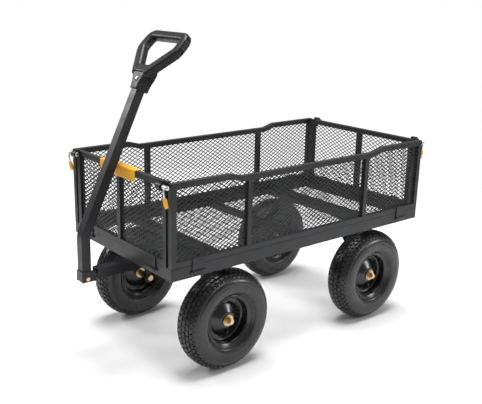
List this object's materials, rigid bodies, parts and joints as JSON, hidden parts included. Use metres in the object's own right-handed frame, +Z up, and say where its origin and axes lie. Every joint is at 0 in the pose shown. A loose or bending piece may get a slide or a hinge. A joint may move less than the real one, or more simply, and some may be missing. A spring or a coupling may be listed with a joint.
{
  "type": "garden cart",
  "caption": "Four-wheeled garden cart with a steel mesh bed, fold-down mesh panels, a steered front axle and a pull handle with a loop grip.",
  "frame": {"origin": "on the ground, under the centre of the bed and midway between the axles", "axes": "+Z up, -Y towards the pull handle, +X towards the right panel"},
  "size_m": [0.704, 1.4796, 1.2034],
  "materials": {
    "frame_paint": "satin charcoal powder coat",
    "mesh_paint": "satin black powder coat on expanded steel mesh",
    "rim_paint": "gloss black enamel",
    "tyre_rubber": "black tyre rubber, smooth sidewalls and block tread",
    "black_plastic": "fine-textured black moulded plastic",
    "yellow_plastic": "satin yellow moulded plastic",
    "yellow_zinc": "yellow-passivated zinc plating",
    "bright_zinc": "bright zinc plating"
  },
  "bodies": {
    "bed": {"side_rail_left": "frame_paint", "side_rail_right": "frame_paint", "end_rail_front": "frame_paint", "end_rail_back": "frame_paint", "floor_mesh": "mesh_paint", "front_cross_member": "frame_paint", "middle_cross_member": "frame_paint", "rear_cross_member": "frame_paint", "turntable_plate": "frame_paint", "kingpin": "yellow_zinc", "rear_bracket_left": "frame_paint", "rear_bracket_right": "frame_paint", "rear_axles": "yellow_zinc", "rear_axle_nuts": "yellow_zinc", "hinge_pins": "frame_paint", "front_panel_frame": "frame_paint", "front_panel_mesh": "mesh_paint", "handle_guard": "yellow_plastic", "front_latch_brackets": "frame_paint", "front_latch_bolts": "bright_zinc"},
    "left_panel": {"left_panel_frame": "frame_paint", "left_panel_mesh": "mesh_paint"},
    "right_panel": {"right_panel_frame": "frame_paint", "right_panel_mesh": "mesh_paint"},
    "back_panel": {"back_panel_frame": "frame_paint", "back_panel_mesh": "mesh_paint", "back_latch_brackets": "frame_paint", "back_latch_bolts": "bright_zinc"},
    "latch_front_left": {"latch_lever_front_left": "bright_zinc", "latch_grip_front_left": "yellow_plastic"},
    "latch_front_right": {"latch_lever_front_right": "bright_zinc", "latch_grip_front_right": "yellow_plastic"},
    "latch_back_left": {"latch_lever_back_left": "bright_zinc", "latch_grip_back_left": "yellow_plastic"},
    "latch_back_right": {"latch_lever_back_right": "bright_zinc", "latch_grip_back_right": "yellow_plastic"},
    "steering": {"front_yoke": "frame_paint", "tongue": "frame_paint", "front_axles": "yellow_zinc", "front_axle_nuts": "yellow_zinc"},
    "handle": {"handle_bracket": "frame_paint", "handle_bolt": "yellow_zinc", "handle_tube": "frame_paint", "handle_grip": "black_plastic", "handle_rivet": "yellow_zinc"},
    "wheel_front_left": {"tyre_front_left": "tyre_rubber", "rim_front_left": "rim_paint", "hub_front_left": "yellow_zinc"},
    "wheel_front_right": {"tyre_front_right": "tyre_rubber", "rim_front_right": "rim_paint", "hub_front_right": "yellow_zinc"},
    "wheel_back_left": {"tyre_back_left": "tyre_rubber", "rim_back_left": "rim_paint", "hub_back_left": "yellow_zinc"},
    "wheel_back_right": {"tyre_back_right": "tyre_rubber", "rim_back_right": "rim_paint", "hub_back_right": "yellow_zinc"}
  },
  "joints": [
    {"name": "steering_turn", "type": "hinge", "parent": "bed", "child": "steering", "pos_m": [0, -0.384, 0.393], "axis": [0, 0, 1], "range_deg": [-10, 10]},
    {"name": "handle_pull", "type": "hinge", "parent": "steering", "child": "handle", "pos_m": [0, -0.788, 0.348], "axis": [1, 0, 0], "range_deg": [0, 125]},
    {"name": "wheel_front_left_roll", "type": "hinge", "parent": "steering", "child": "wheel_front_left", "pos_m": [-0.294, -0.384, 0.1905], "axis": [1, 0, 0], "continuous": true},
    {"name": "wheel_front_right_roll", "type": "hinge", "parent": "steering", "child": "wheel_front_right", "pos_m": [0.294, -0.384, 0.1905], "axis": [1, 0, 0], "continuous": true},
    {"name": "wheel_back_left_roll", "type": "hinge", "parent": "bed", "child": "wheel_back_left", "pos_m": [-0.294, 0.384, 0.1905], "axis": [1, 0, 0], "continuous": true},
    {"name": "wheel_back_right_roll", "type": "hinge", "parent": "bed", "child": "wheel_back_right", "pos_m": [0.294, 0.384, 0.1905], "axis": [1, 0, 0], "continuous": true},
    {"name": "left_panel_fold", "type": "hinge", "parent": "bed", "child": "left_panel", "pos_m": [-0.341, 0, 0.421], "axis": [0, -1, 0], "range_deg": [0, 160]},
    {"name": "right_panel_fold", "type": "hinge", "parent": "bed", "child": "right_panel", "pos_m": [0.341, 0, 0.421], "axis": [0, 1, 0], "range_deg": [0, 160]},
    {"name": "back_panel_fold", "type": "hinge", "parent": "bed", "child": "back_panel", "pos_m": [0, 0.648, 0.421], "axis": [-1, 0, 0], "range_deg": [0, 165]},
    {"name": "latch_front_left_lift", "type": "hinge", "parent": "bed", "child": "latch_front_left", "pos_m": [-0.323, -0.6565, 0.73], "axis": [-1, 0, 0], "range_deg": [0, 110]},
    {"name": "latch_front_right_lift", "type": "hinge", "parent": "bed", "child": "latch_front_right", "pos_m": [0.323, -0.6565, 0.73], "axis": [-1, 0, 0], "range_deg": [0, 110]},
    {"name": "latch_back_left_lift", "type": "hinge", "parent": "back_panel", "child": "latch_back_left", "pos_m": [-0.323, 0.6565, 0.73], "axis": [1, 0, 0], "range_deg": [0, 110]},
    {"name": "latch_back_right_lift", "type": "hinge", "parent": "back_panel", "child": "latch_back_right", "pos_m": [0.323, 0.6565, 0.73], "axis": [1, 0, 0], "range_deg": [0, 110]}
  ]
}
